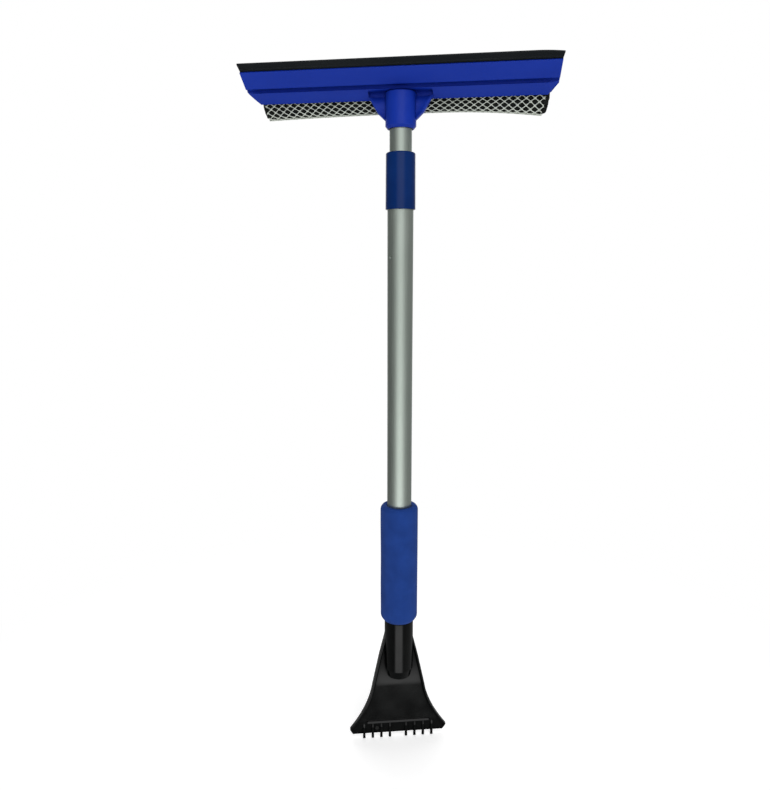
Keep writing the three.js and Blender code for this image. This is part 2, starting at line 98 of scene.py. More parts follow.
def stage_piece(name, mesh_maker, material):
    mesh = bpy.data.meshes.new(name)
    shape = bmesh.new()
    mesh_maker(shape)
    shape.to_mesh(mesh)
    shape.free()
    mesh.materials.append(material)
    placed = in_scene(name, mesh)
    placed.visible_glossy = False
    return placed


def pale_floor():
    """A matt floor that fades into the white surround a little way out from the object."""
    finish = Finish("pale_floor", roughness=0.9, specular=0.05)
    finish.set("Base Color", (0.7, 0.7, 0.7))
    finish.set("Emission Color", (1, 1, 1))
    finish.set("Emission Strength", 0.5)
    distance = finish.node("ShaderNodeVectorMath", {0: finish.place}, operation="LENGTH").outputs["Value"]
    fade = finish.node("ShaderNodeMapRange", {0: distance, 1: 0.12, 2: 0.55}, interpolation_type="SMOOTHSTEP")
    shaders = {0: fade.outputs[0], 1: finish.surface.outputs[0], 2: finish.glow()}
    finish.show(finish.node("ShaderNodeMixShader", shaders).outputs[0])
    return finish.material


def white_surround():
    finish = Finish("white_surround")
    finish.show(finish.glow())
    return finish.material


def add_stage():
    def disc(shape):
        bmesh.ops.create_circle(shape, cap_ends=True, segments=96, radius=ROOM_RADIUS)

    def dome(shape):
        bmesh.ops.create_uvsphere(shape, u_segments=48, v_segments=24, radius=ROOM_RADIUS)

    floor = stage_piece("floor", disc, pale_floor())
    floor.location.z = cad_low.z - 0.0002
    surround = stage_piece("surround", dome, white_surround())
    surround.visible_diffuse = False
    surround.visible_shadow = False

    bpy.context.scene.world = studio_world()
    soft_light("key_softbox", (0.7, -1.5, 1.7), (0, 0, 0.15), 1.3, 10)
    soft_light("front_softbox", (0.15, -1.7, 0.45), (0, 0, 0.15), 0.9, 5.5)
    soft_light("top_softbox", (0, 0.1, 2.4), (0, 0, 0), 2.6, 27)
    soft_light("back_softbox", (-0.4, 1.8, 1.2), (0, 0, 0.15), 1.6, 6)
    bpy.context.scene.view_settings.view_transform = "Standard"


def studio_world():
    """A dim room with one tall white panel in front of the object and one behind it.

    x, y and z are a direction's parts, and turn is how far it is, in radians, from straight in front.
    """
    world = bpy.data.worlds.new("studio")
    world.use_nodes = True
    tree = world.node_tree

    def node(kind, *inputs, **settings):
        return add_node(tree, kind, dict(enumerate(inputs)), **settings).outputs[0]

    def maths(operation, *inputs):
        return node("ShaderNodeMath", *inputs, operation=operation)

    def ramp(value, start, end, low, high):
        return node("ShaderNodeMapRange", value, start, end, low, high, interpolation_type="SMOOTHSTEP")

    split = tree.nodes.new("ShaderNodeSeparateXYZ")
    tree.links.new(tree.nodes.new("ShaderNodeTexCoord").outputs["Generated"], split.inputs[0])
    x, y, z = split.outputs
    turn = maths("ABSOLUTE", maths("ARCTAN2", x, maths("MULTIPLY", y, -1.0)))
    behind = maths("MULTIPLY", ramp(turn, 2.36, 2.64, 0.0, 0.8), ramp(z, -0.3, -0.2, 0.0, 1.0))
    panels = maths("ADD", ramp(turn, 0.34, 0.66, 1.0, 0.0), behind)
    rise = maths("ADD", ramp(z, -0.42, 0.0, 2.2, 0.7), ramp(z, 0.02, 0.16, 0.0, 0.72))
    ends = maths("MULTIPLY", ramp(z, -0.6, -0.55, 0.0, 1.0), ramp(z, 0.35, 0.7, 1.0, 0.15))
    right = ramp(x, -0.2, 0.9, 0.0, 0.12)
    glow = maths("MULTIPLY", maths("MULTIPLY", panels, rise), ends)
    room = 0.16
    background = tree.nodes["Background"]
    background.inputs["Color"].default_value = (1, 1, 1, 1)
    tree.links.new(maths("ADD", maths("ADD", glow, room), right), background.inputs["Strength"])
    return world


# ---- materials


def link_or_set(tree, socket, value):
    if isinstance(value, bpy.types.NodeSocket):
        tree.links.new(value, socket)
    elif isinstance(value, tuple) and len(value) == 3 and len(socket.default_value) == 4:
        socket.default_value = (*value, 1)
    else:
        socket.default_value = value


def add_node(tree, kind, inputs, **settings):
    """A shader node with its settings made and its inputs, by name or number, linked or set."""
    made = tree.nodes.new(kind)
    for key, value in settings.items():
        setattr(made, key, value)
    for socket, value in inputs.items():
        link_or_set(tree, made.inputs[socket], value)
    return made


class Finish:
    """A procedural material, built up from named steps. Places are the piece's own, in metres."""

    def __init__(self, name, roughness=0.5, metallic=0.0, specular=0.5):
        self.material = bpy.data.materials.new(name)
        self.material.use_nodes = True
        self.tree = self.material.node_tree
        self.surface = self.tree.nodes["Principled BSDF"]
        self.set("Roughness", roughness)
        self.set("Metallic", metallic)
        self.set("Specular IOR Level", specular)
        self.place = self.tree.nodes.new("ShaderNodeTexCoord").outputs["Object"]
        self.normal = None

    def set(self, socket, value):
        link_or_set(self.tree, self.surface.inputs[socket], value)

    def node(self, kind, inputs, **settings):
        return add_node(self.tree, kind, inputs, **settings)

    def glow(self):
        return self.node("ShaderNodeEmission", {"Strength": 1.0}).outputs[0]

    def show(self, shader):
        """Puts another shader in the surface's place."""
        self.tree.links.new(shader, self.tree.nodes["Material Output"].inputs[0])

    def stretched(self, x, y, z):
        return self.node("ShaderNodeMapping", {"Vector": self.place, "Scale": (x, y, z)}).outputs[0]

    def noise(self, scale, detail=3.0, vector=None, roughness=0.5):
        inputs = {"Vector": vector or self.place, "Scale": scale, "Detail": detail, "Roughness": roughness}
        return self.node("ShaderNodeTexNoise", inputs).outputs["Fac"]

    def cells(self, scale):
        return self.node("ShaderNodeTexVoronoi", {"Vector": self.place, "Scale": scale}).outputs["Distance"]

    def ranged(self, value, low, high, to_low=0.0, to_high=1.0):
        inputs = {0: value, 1: low, 2: high, 3: to_low, 4: to_high}
        return self.node("ShaderNodeMapRange", inputs).outputs[0]

    def mixed(self, share, one, other):
        return self.node("ShaderNodeMix", {0: share, 6: one, 7: other}, data_type="RGBA").outputs[2]

    def tint(self, pattern, low, high, one, other):
        """The one colour where a pattern is at its low value, and the other where it is at its high."""
        return self.mixed(self.ranged(pattern, low, high), one, other)

    def add(self, one, other):
        return self.node("ShaderNodeMath", {0: one, 1: other}, operation="ADD").outputs[0]

    def painted_shade(self, reach):
        """Painted shade from ambient occlusion: 1 deep in corners and grooves where light is lost, 0 on open
        faces.
        """
        open_share = self.node("ShaderNodeAmbientOcclusion", {"Distance": reach}, samples=8).outputs["AO"]
        return self.ranged(open_share, 0.97, 0.45)

    def soften_edges(self, radius):
        self.normal = self.node("ShaderNodeBevel", {"Radius": radius}, samples=6).outputs[0]
        self.set("Normal", self.normal)

    def bump(self, height, distance, strength=1.0):
        inputs = {"Height": height, "Distance": distance, "Strength": strength}
        if self.normal:
            inputs["Normal"] = self.normal
        self.normal = self.node("ShaderNodeBump", inputs).outputs[0]
        self.set("Normal", self.normal)


def drawn_aluminium():
    """Satin anodised tube with the fine lengthwise lines that drawing leaves."""
    finish = Finish("drawn_aluminium", metallic=1.0)
    lines = finish.noise(1.0, 4, finish.stretched(2600, 2600, 14))
    drawn = finish.tint(lines, 0.3, 0.7, (0.45, 0.51, 0.46), (0.54, 0.605, 0.55))
    dulled = finish.ranged(finish.noise(22, 3), 0.35, 0.7, 0, 0.35)
    finish.set("Base Color", finish.mixed(dulled, drawn, (0.43, 0.495, 0.44)))
    scuffs = finish.noise(60, 6, finish.stretched(1, 1, 0.25), 0.7)
    worn = finish.ranged(scuffs, 0.55, 0.8, 0, 0.1)
    finish.set("Roughness", finish.add(finish.ranged(lines, 0.3, 0.7, 0.42, 0.5), worn))
    finish.set("Anisotropic", 0.55)
    finish.bump(lines, 0.00002, 0.35)
    return finish.material


def collar_plastic():
    """Glossy dark blue plastic, a little hazy."""
    finish = Finish("collar_plastic", specular=0.14)
    haze = finish.noise(45, 4)
    finish.set("Base Color", finish.tint(haze, 0.3, 0.75, (0.0012, 0.0155, 0.09), (0.0024, 0.022, 0.118)))
    finish.set("Roughness", finish.ranged(finish.noise(300, 5), 0.35, 0.75, 0.16, 0.27))
    finish.bump(finish.noise(900, 3), 0.00002, 0.25)
    return finish.material


def grip_foam():
    """Closed-cell foam: a matte skin pricked by fine cells."""
    finish = Finish("grip_foam", roughness=0.95, specular=0.2)
    cells = finish.cells(2300)
    skin_tone = finish.tint(finish.noise(70, 4), 0.3, 0.7, (0.0075, 0.034, 0.178), (0.011, 0.0445, 0.225))
    pits = finish.ranged(cells, 0.0, 0.28, 0.45, 0.0)
    finish.set("Base Color", finish.mixed(pits, skin_tone, (0.004, 0.018, 0.1)))
    finish.set("Sheen Weight", 0.05)
    finish.set("Sheen Roughness", 0.5)
    finish.set("Sheen Tint", (0.2, 0.35, 0.8))
    finish.bump(finish.ranged(cells, 0.05, 0.5), 0.00012, 0.8)
    finish.bump(finish.noise(240, 4), 0.0003, 0.5)
    return finish.material


def blue_plastic():
    """Moulded polypropylene: a satin skin with faint flow marks."""
    finish = Finish("blue_plastic")
    flow = finish.noise(9, 4, finish.stretched(1, 3, 3))
    skin_tone = finish.tint(flow, 0.3, 0.72, (0.0044, 0.0245, 0.272), (0.0066, 0.032, 0.325))
    # Painted shade: a darker colour and a dimmer reflection in corners, grooves and the pocket under the
    # crease, from ambient occlusion.
    painted_shade = finish.painted_shade(0.012)
    finish.set("Base Color", finish.mixed(painted_shade, skin_tone, (0.002, 0.0105, 0.16)))
    finish.set("Specular IOR Level", finish.ranged(painted_shade, 0, 1, 0.13, 0.03))
    finish.set("Roughness", finish.ranged(finish.noise(160, 5), 0.3, 0.8, 0.34, 0.46))
    finish.bump(finish.noise(1400, 3), 0.00003, 0.3)
    return finish.material


def black_plastic():
    """Gloss black plastic with fine wear along it."""
    finish = Finish("black_plastic")
    haze = finish.noise(55, 5)
    finish.set("Base Color", finish.tint(haze, 0.4, 0.8, (0.0008, 0.0011, 0.0011), (0.0022, 0.0028, 0.0027)))
    scratches = finish.noise(1.0, 6, finish.stretched(900, 900, 60), 0.65)
    worn = finish.ranged(scratches, 0.62, 0.8, 0, 0.15)
    finish.set("Roughness", finish.add(finish.ranged(haze, 0.3, 0.75, 0.13, 0.22), worn))
    # Painted shade: the reflection dims in corners, along the rims and round the socket's foot, from ambient
    # occlusion.
    finish.set("Specular IOR Level", finish.ranged(finish.painted_shade(0.01), 0, 1, 0.24, 0.04))
    finish.soften_edges(0.0004)
    finish.bump(finish.noise(260, 3), 0.00004, 0.3)
    return finish.material


def blade_rubber():
    """Black rubber with a faint bloom and fine streaks along its length."""
    finish = Finish("blade_rubber", specular=0.3)
    streaks = finish.noise(1.0, 5, finish.stretched(14, 900, 900), 0.6)
    bloom = finish.noise(18, 5)
    finish.set("Base Color", finish.tint(bloom, 0.35, 0.8, (0.0035, 0.006, 0.0075), (0.0085, 0.0115, 0.013)))
    finish.set("Roughness", finish.ranged(streaks, 0.3, 0.7, 0.48, 0.66))
    finish.bump(streaks, 0.00003, 0.5)
    finish.bump(finish.noise(1600, 3), 0.00002, 0.4)
    return finish.material


def open_foam():
    """Black reticulated sponge: ragged cells of half a millimetre to a millimetre."""
    finish = Finish("open_foam", roughness=1.0, specular=0.15)
    big = finish.cells(900)
    small = finish.cells(2100)
    walls = finish.add(finish.ranged(big, 0.1, 0.65), finish.ranged(small, 0.05, 0.6, 0, 0.5))
    finish.set("Base Color", finish.tint(walls, 0.3, 1.3, (0.0015, 0.002, 0.0015), (0.013, 0.0145, 0.013)))
    finish.bump(walls, 0.0006, 0.9)
    return finish.material


def net_yarn():
    """Pale spun yarn, greyed in patches."""
    finish = Finish("net_yarn", roughness=0.6, specular=0.3)
    fibres = finish.noise(3200, 4)
    clean = finish.tint(fibres, 0.3, 0.7, (0.4, 0.44, 0.385), (0.56, 0.59, 0.53))
    grime = finish.ranged(finish.noise(35, 4), 0.45, 0.8, 0, 0.45)
    finish.set("Base Color", finish.mixed(grime, clean, (0.25, 0.28, 0.235)))
    finish.bump(fibres, 0.00008, 0.7)
    return finish.material


def zinc_steel():
    """Zinc-plated steel, for the screws and the cross pin."""
    finish = Finish("zinc_steel", metallic=1.0)
    turned = finish.noise(900, 4)
    finish.set("Base Color", finish.tint(turned, 0.3, 0.7, (0.4, 0.41, 0.44), (0.58, 0.59, 0.6)))
    finish.set("Roughness", finish.ranged(finish.noise(500, 4), 0.3, 0.7, 0.24, 0.42))
    finish.bump(turned, 0.00002, 0.5)
    return finish.material


def lock_plastic(name, colour, other):
    """The plain plastic of the lock inside the pole, mottled between two colours."""
    finish = Finish(name, roughness=0.45)
    finish.set("Base Color", finish.tint(finish.noise(80, 4), 0.3, 0.7, colour, other))
    finish.bump(finish.noise(700, 3), 0.00003, 0.4)
    return finish.material


# ---- outlines


def clamped(value):
    return min(1.0, max(0.0, value))


def rounded(corners, steps=5):
    """A closed outline whose corners, each (a, b, radius), are turned into arcs."""
    outline = []
    for i, (a, b, radius) in enumerate(corners):
        corner = Vector((a, b))
        back = Vector(corners[i - 1][:2]) - corner
        on = Vector(corners[(i + 1) % len(corners)][:2]) - corner
        half = back.angle(on) / 2
        trim = min(radius / math.tan(half), 0.49 * back.length, 0.49 * on.length)
        if trim < 1e-4:
            outline.append(corner)
            continue
        start = corner + back.normalized() * trim
        end = corner + on.normalized() * trim
        middle = (back.normalized() + on.normalized()).normalized()
        centre = corner + middle * (trim / math.cos(half))
        sweep = (start - centre).angle_signed(end - centre)
        for k in range(steps + 1):
            outline.append(centre + Matrix.Rotation(-sweep * k / steps, 2) @ (start - centre))
    return outline


def inset(outline, distance):
    """The same closed outline drawn in by a distance."""
    count = len(outline)
    area = sum(outline[i - 1].cross(outline[i]) for i in range(count))
    side = math.copysign(1, area)
    drawn = []
    for i, point in enumerate(outline):
        before = (point - outline[i - 1]).normalized()
        after = (outline[(i + 1) % count] - point).normalized()
        first = Vector((-before.y, before.x)) * side
        second = Vector((-after.y, after.x)) * side
        middle = (first + second).normalized()
        drawn.append(point + middle * distance / max(middle.dot(first), 0.4))
    return drawn


def along(points, step):
    """The points again, evenly spaced about that step apart, and each one's distance along the line."""
    line = np.array([tuple(p) for p in points])
    lengths = np.linalg.norm(np.diff(line, axis=0), axis=1)
    reached = np.concatenate([[0], np.cumsum(lengths)])
    places = np.linspace(0, reached[-1], max(2, round(reached[-1] / step) + 1))
    spaced = [Vector((np.interp(s, reached, line[:, 0]), np.interp(s, reached, line[:, 1]))) for s in places]
    return spaced, places


# ---- meshes


def full_turn(count):
    """That many angles, evenly spaced round a circle."""
    return [math.tau * i / count for i in range(count)]


def add_walls(shape, rings, cyclic=False):
    """Joins rings of vertices, and caps the ends or, if cyclic, joins the last ring to the first."""
    pairs = list(zip(rings, rings[1:]))
    if cyclic:
        pairs.append((rings[-1], rings[0]))
    for one, other in pairs:
        for i in range(len(one)):
            j = (i + 1) % len(one)
            shape.faces.new((one[i], one[j], other[j], other[i]))
    if not cyclic:
        shape.faces.new(rings[0])
        shape.faces.new(reversed(rings[-1]))


def skin(name, rings, turn=NO_TURN, cyclic=False):
    """A closed body through rings of [x, y, z] points in millimetres, all with as many points."""
    shape = bmesh.new()
    add_walls(shape, [[shape.verts.new(Vector(p) * MM) for p in ring] for ring in rings], cyclic)
    return close_up(name, shape, turn)


def close_up(name, shape, turn):
    """Merges what meets, drops stray edges, turns every face outward and makes the object."""
    bmesh.ops.remove_doubles(shape, verts=shape.verts, dist=1e-7)
    stray = [edge for edge in shape.edges if not edge.link_faces]
    bmesh.ops.delete(shape, geom=stray, context="EDGES")
    bmesh.ops.recalc_face_normals(shape, faces=shape.faces)
    if shape.calc_volume(signed=True) < 0:
        bmesh.ops.reverse_faces(shape, faces=shape.faces)
    mesh = bpy.data.meshes.new(name)
    shape.to_mesh(mesh)
    shape.free()
    made = in_scene(name, mesh)
    made.matrix_world = Matrix.Rotation(turn, 4, "Z")
    return made


def lathe(name, profile, turn=NO_TURN, segments=128):
    """A closed [radius, height] profile turned about the pole."""
    rings = [[(r * math.cos(a), r * math.sin(a), z) for r, z in profile] for a in full_turn(segments)]
    return skin(name, rings, turn, cyclic=True)


def end_rounding(edge, steps=4):
    """(how far short of the end, how far drawn in) at each step round an end's edge."""
    turns = [math.pi / 2 * k / steps for k in range(steps + 1)]
    return [(edge * (1 - math.sin(a)), edge * (1 - math.cos(a))) for a in turns]


def across(name, outline, reach, edge=0.4, turn=NO_TURN, shift=0.0):
    """A [forward, height] outline run across the tool, with rounded ends. reach gives each point's end."""
    halves = []
    for short, drawn_in in end_rounding(edge):
        drawn = inset(outline, drawn_in)
        halves.append([(reach(*p) - short, q) for p, q in zip(outline, drawn)])
    right = [[(shift + x, -q.x, q.y) for x, q in ring] for ring in halves]
    left = [[(shift - x, -q.x, q.y) for x, q in ring] for ring in reversed(halves)]
    return skin(name, left + right, turn)


def frontal(name, outline, front, back, edge=0.4, turn=NO_TURN):
    """An [x, height] outline given depth from one forward distance back to another."""
    rings = []
    for short, drawn_in in reversed(end_rounding(edge)):
        rings.append([(p.x, -(front - short), p.y) for p in inset(outline, drawn_in)])
    for short, drawn_in in end_rounding(edge):
        rings.append([(p.x, -(back + short), p.y) for p in inset(outline, drawn_in)])
    return skin(name, rings, turn)


def level_bar(name, radius, front, back, x, height, turn):
    """A round bar along Y, from one forward distance back to another."""
    outline = [Vector((x + radius * math.cos(a), height + radius * math.sin(a))) for a in full_turn(48)]
    return frontal(name, outline, front, back, edge=0.01, turn=turn)


def bake(piece):
    """Turns a piece's modifiers into mesh."""
    evaluated = piece.evaluated_get(bpy.context.evaluated_depsgraph_get())
    mesh = bpy.data.meshes.new_from_object(evaluated)
    piece.modifiers.clear()
    piece.data = mesh


def combine(piece, others, operation):
    """Adds other objects to a piece, or cuts them out of it, and uses them up."""
    for other in others:
        cut = piece.modifiers.new("boolean", "BOOLEAN")
        cut.operation = operation
        cut.object = other
        cut.solver = "EXACT"
        bake(piece)
        bpy.data.objects.remove(other)
    fill_gaps(piece)


def fill_gaps(piece):
    """Closes the odd small facet that a boolean drops."""
    shape = bmesh.new()
    shape.from_mesh(piece.data)
    rims = [edge for edge in shape.edges if edge.is_boundary]
    if rims:
        bmesh.ops.holes_fill(shape, edges=rims, sides=6)
        bmesh.ops.recalc_face_normals(shape, faces=shape.faces)
        shape.to_mesh(piece.data)
    shape.free()


def shade(piece, sharp_angle=32):
    """Smooth shading that still breaks at edges sharper than an angle in degrees."""
    piece.data.shade_smooth()
    piece.data.set_sharp_from_angle(angle=math.radians(sharp_angle))
    weighted = piece.modifiers.new("weighted_normals", "WEIGHTED_NORMAL")
    weighted.keep_sharp = True


def finished(piece, body, slot, material, *nodes):
    """Gives a piece its material, sets it on its body and lets it stand for its CAD nodes."""
    piece.data.materials.clear()
    piece.data.materials.append(material)
    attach(piece, body)
    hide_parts(*nodes)


def extents(node):
    """Lowest and highest corner of a CAD node in millimetres."""
    points = np.array([tuple(v.co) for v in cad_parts[node].data.vertices]) / MM
    return Vector(points.min(0)), Vector(points.max(0))


# ---- pole

GRIP_LOW, GRIP_HIGH = extents("foam_grip")
OUTER_LOW, OUTER_HIGH = extents("outer_tube")
INNER_LOW, INNER_HIGH = extents("inner_tube")
COLLAR_LOW, COLLAR_HIGH = extents("collar")
OUTER_WALL = 1.0
INNER_WALL = 0.8
TOUCH_GAP = 0.3


def tube_profile(radius, wall, low, high):
    """A tube's [radius, height] section, with its rims broken."""
    bore = radius - wall
    return rounded([(r, z, 0.25) for r, z in ((bore, low), (radius, low), (radius, high), (bore, high))], 3)


def outer_tube(metal):
    """The outer tube, with the punched dimple that stops the inner tube coming out."""
    radius = OUTER_HIGH.x
    dimple_height = 278.6
    dimple_angle = math.radians(-140)
    dimple_radius = 1.15
    dimple_depth = 0.75
    profile = tube_profile(radius, OUTER_WALL, OUTER_LOW.z, OUTER_HIGH.z)
    outside = [p for p in profile if p.x > radius - OUTER_WALL / 2]
    inside = [p for p in profile if p.x <= radius - OUTER_WALL / 2]
    near_dimple = [dimple_height - 4 + 0.25 * i for i in range(33)]
    column = [p for p in outside if p.y < dimple_height]
    column += [Vector((radius, z)) for z in near_dimple]
    column += [p for p in outside + inside if p.y > dimple_height]
    column += [Vector((radius - OUTER_WALL, z)) for z in reversed(near_dimple)]
    column += [p for p in inside if p.y < dimple_height]
    tube = lathe("pole_outer", column, segments=288)
    centre = Vector((radius * math.cos(dimple_angle), radius * math.sin(dimple_angle), dimple_height)) * MM
    inward = Vector((-math.cos(dimple_angle), -math.sin(dimple_angle), 0))
    for vertex in tube.data.vertices:
        away = (vertex.co - centre).length / MM / dimple_radius
        vertex.co += inward * dimple_depth * MM * math.exp(-away ** 4)
    shade(tube)
    finished(tube, "handle", "aluminium_tube", metal, "outer_tube")


def inner_tube(metal):
    profile = tube_profile(INNER_HIGH.x, INNER_WALL, INNER_LOW.z, INNER_HIGH.z)
    tube = lathe("pole_inner", profile)
    shade(tube)
    finished(tube, "head", "aluminium_tube", metal, "inner_tube")


def collar(plastic):
    """The moulded sleeve over the outer tube's end, drafted a little, with a rounded shoulder."""
    bore = OUTER_HIGH.x + TOUCH_GAP
    lip_bore = INNER_HIGH.x + 0.1
    low, high = COLLAR_LOW.z, COLLAR_HIGH.z
    lip_low = high - 6.1
    wide = COLLAR_HIGH.x
    profile = rounded([
        (bore, low, 0.25),
        (wide, low, 0.5),
        (wide, low + 1.6, 0.3),
        (wide - 0.25, high, 3.1),
        (lip_bore, high, 0.3),
        (lip_bore, lip_low, 0.2),
        (bore, lip_low, 0.2),
    ], 10)
    sleeve = lathe("pole_collar", profile, segments=160)
    shade(sleeve, 50)
    finished(sleeve, "handle", "collar_plastic", plastic, "collar")


def grip(foam):
    """The foam sleeve: soft rounded ends, and a skin that is never quite even."""
    radius = GRIP_HIGH.x + 0.12
    low, high = GRIP_LOW.z, GRIP_HIGH.z
    bore = OUTER_HIGH.x + TOUCH_GAP
    outline = rounded([
        (bore, low + 0.7, 0.4),
        (radius - 2.6, low, 2.2),
        (radius, low + 3.8, 5),
        (radius, high - 3.0, 4.4),
        (radius - 2.4, high, 2.2),
        (bore, high - 0.7, 0.4),
    ], 8)
    spaced, _ = along(outline + outline[:1], 1.0)
    sleeve = lathe("grip_sleeve", spaced[:-1], segments=180)
    ripple = 0.022
    random.seed(7)
    waves = [(random.uniform(0, math.tau), random.uniform(40, 130), random.randint(1, 4)) for _ in range(9)]
    for vertex in sleeve.data.vertices:
        x, y, z = vertex.co
        angle = math.atan2(y, x)
        wave = sum(math.sin(phase + z * rate + turns * angle) for phase, rate, turns in waves)
        out = Vector((x, y, 0)).normalized()
        outer_share = max(0.0, math.hypot(x, y) / MM - bore) / (radius - bore)
        vertex.co += out * wave * ripple * MM * outer_share
    shade(sleeve, 60)
    finished(sleeve, "handle", "blue_foam", foam, "foam_grip")


# ---- screws

SMALL_HEAD = (2.8, 1.9)           # radius and height of a clamp screw's head
LARGE_HEAD = (3.1, 2.1)           # and of the two screws that hold the tubes


def screw(name, node, body, steel, seat, tip, head, x, height, turn):
    """A pan-head screw along Y with its head at the back and a cross recess.

    seat and tip are forward distances, of the face under its head and of its point.
    """
    head_radius, head_height = head
    shank = 1.5
    under = seat - TOUCH_GAP
    back = under - head_height
    profile = rounded([
        (0, -tip, 0), (shank * 0.35, -tip, 0), (shank, -tip + 1.5, 0.2), (shank, -under, 0.1),
        (head_radius, -under, 0.25), (head_radius, -under + head_height * 0.45, 0.4),
        (head_radius * 0.74, -back, 1.2), (0, -back, 0),
    ], 5)
    rings = [[(x + r * math.cos(a), y, height + r * math.sin(a)) for r, y in profile] for a in full_turn(64)]
    made = skin(name, rings, turn, cyclic=True)
    arm = head_radius * 0.56
    width = head_radius * 0.13
    depth = head_height * 0.62
    cutters = []
    for quarter in (0, math.pi / 2):
        mouth = [(-arm, -width), (arm, -width), (arm, width), (-arm, width)]
        levels = [(-back + 1, 1.0), (-back, 1.0), (-back - depth, 0.42)]
        recess = []
        for y, share in levels:
            ring = [Matrix.Rotation(quarter, 2) @ Vector((a * share, b)) for a, b in mouth]
            recess.append([(x + p.x, y, height + p.y) for p in ring])
        cutters.append(skin("recess", recess, turn))
    combine(made, cutters, "DIFFERENCE")
    shade(made)
    finished(made, body, "screw_steel", steel, node)


# ---- head

PANEL_TILT = math.radians(40)     # the upper panel leans this far up from level
CREASE = Vector((11.6, 415.2))    # [forward, height] of the edge between the upper and lower panels
LOWER_EDGE = Vector((-5, 406.5))  # and of the lower panel's free edge
BLADE_LIP = 15.2                  # how far up the upper panel the housing ends and the rubber starts
BLADE_TIP = 21.5                  # and where the rubber ends
BLADE_THICKNESS = 2.0
BLADE_SETBACK = 1.8               # how far the rubber's face is behind the panel's
HEAD_SHIFT = -1.2                 # the housing and blade sit a little to -X of the pole's axis
HEAD_HALF_WIDTH = 127.0
BLADE_TIP_HALF_WIDTH = 128.8
LOWER_EDGE_HALF_WIDTH = 119.2
TRAY_FACE = -1.0                  # the back of the upright wall that the sponge is clamped to
TRAY_TOP = 436.5
CLAMP_THICKNESS = 2.5
SOCKET_RADIUS = 12.8
SOCKET_MOUTH = 382.6
SOCKET_TOP = 411.0
HEAD_SCREW_HEIGHT = 389.0
CLAMP_SCREW_HEIGHT = 432.4
CLAMP_SCREW_PLACES = (-105, -38, 38, 105)
SCREW_HOLE = 1.8


def on_panel(distance, behind):
    """[forward, height] on the upper panel: distance runs up it from the crease."""
    up = Vector((math.cos(PANEL_TILT), math.sin(PANEL_TILT)))
    rear = Vector((-math.sin(PANEL_TILT), math.cos(PANEL_TILT)))
    return CREASE + up * distance + rear * behind


def housing_reach(forward, height):
    """Half the housing's width at a height: it narrows below the crease and flares a little above."""
    hip = LOWER_EDGE_HALF_WIDTH + (height - LOWER_EDGE.y) * 1.1
    flare = HEAD_HALF_WIDTH + max(0, height - CREASE.y) * 0.085
    return min(hip, flare, HEAD_HALF_WIDTH + 0.9)


def lower_panel(height):
    """How far forward the lower panel's face is at a height."""
    slope = (CREASE.x - 1.7 - LOWER_EDGE.x) / (CREASE.y - 2.6 - LOWER_EDGE.y)
    return LOWER_EDGE.x + (height - LOWER_EDGE.y) * slope


def housing_section():
    """The [forward, height] section: two panels, the tray's wall behind them and the blade's slot."""
    tray_front = TRAY_FACE + 2.6
    slot_front = BLADE_SETBACK - TOUCH_GAP
    slot_back = BLADE_SETBACK + BLADE_THICKNESS + TOUCH_GAP
    bead_back = BLADE_SETBACK + 4.5
    holder_back = bead_back + 1.5
    corners = [
        (on_panel(BLADE_LIP, 0), 0.5),
        (CREASE, 0.7),
        (CREASE + Vector((-3.8, 0.1)), 0.5),
        (CREASE + Vector((-3.6, -2.5)), 0.5),
        (CREASE + Vector((-1.7, -2.75)), 0.9),
        (LOWER_EDGE, 0.6),
        (LOWER_EDGE + Vector((-1, 2.4)), 0.6),
        (Vector((TRAY_FACE, LOWER_EDGE.y + 4.45)), 0.8),
        (Vector((TRAY_FACE, TRAY_TOP)), 0.6),
        (Vector((tray_front, TRAY_TOP)), 0.6),
        (Vector((tray_front, LOWER_EDGE.y + 6.2)), 1.0),
        (CREASE + Vector((-6.4, 0.2)), 1.0),
        (on_panel(1, 2.7), 0.6),
        (on_panel(6.5, 2.8), 0.6),
        (on_panel(6.5, holder_back), 0.8),
        (on_panel(BLADE_LIP, holder_back), 0.5),
        (on_panel(BLADE_LIP, slot_back), 0.35),
        (on_panel(BLADE_LIP - 2, slot_back), 0.35),
        (on_panel(BLADE_LIP - 2, bead_back), 0.2),
        (on_panel(BLADE_LIP - 5.8, bead_back), 0.2),
        (on_panel(BLADE_LIP - 5.8, slot_front), 0.2),
        (on_panel(BLADE_LIP, slot_front), 0.35),
    ]
    return rounded([(p.x, p.y, radius) for p, radius in corners], 4)


def trough_rib(x):
    """A thin web across the trough between the upper panel and the tray's wall."""
    outline = rounded([(0.5, 411.5, 0), (13.6, 419, 0.6), (12.6, 424, 1.5), (0.5, 429, 1)], 4)
    return across("rib", outline, lambda f, h: 0.9, 0.3, HEAD_TURN, x)


def bracket():
    """The gussets either side of the socket: one plate with slightly raised edges, hollowed at the top."""
    low = 388.6
    sides = [(low, 12.0), (395.3, 19.2), (408, 26.6), (410.6, 27.4), (412, 27.6)]
    front_points = 56
    rings = []
    for height in np.linspace(low, SOCKET_TOP, 41):
        half = float(np.interp(height, *zip(*sides)))
        hollow = 1.6 * clamped((height - 401.5) / 6) ** 2
        back = max(-1.5, lower_panel(height) - 4)
        ring = [(half, -back, height)]
        for i in range(front_points + 1):
            share = 1 - 2 * i / front_points
            rim = 1.1 * clamped((abs(share) - 0.62) / 0.3) ** 2
            edge = 1.6 * max(0.0, (abs(share) - 0.93) / 0.07) ** 2
            ring.append((half * share, -(2.7 - hollow + rim - edge), height))
        ring.append((-half, -back, height))
        rings.append(ring)
    return skin("bracket", rings, HEAD_TURN)


def pocket():
    """The recess under the crease, over the gussets."""
    half, low, high = 26.5, 407.7, 411.9
    outline = rounded([(-half, low, 1.5), (half, low, 1.5), (half, high, 1.5), (-half, high, 1.5)], 6)
    return frontal("pocket", outline, CREASE.x + 1, 0.8, 0.05, HEAD_TURN)


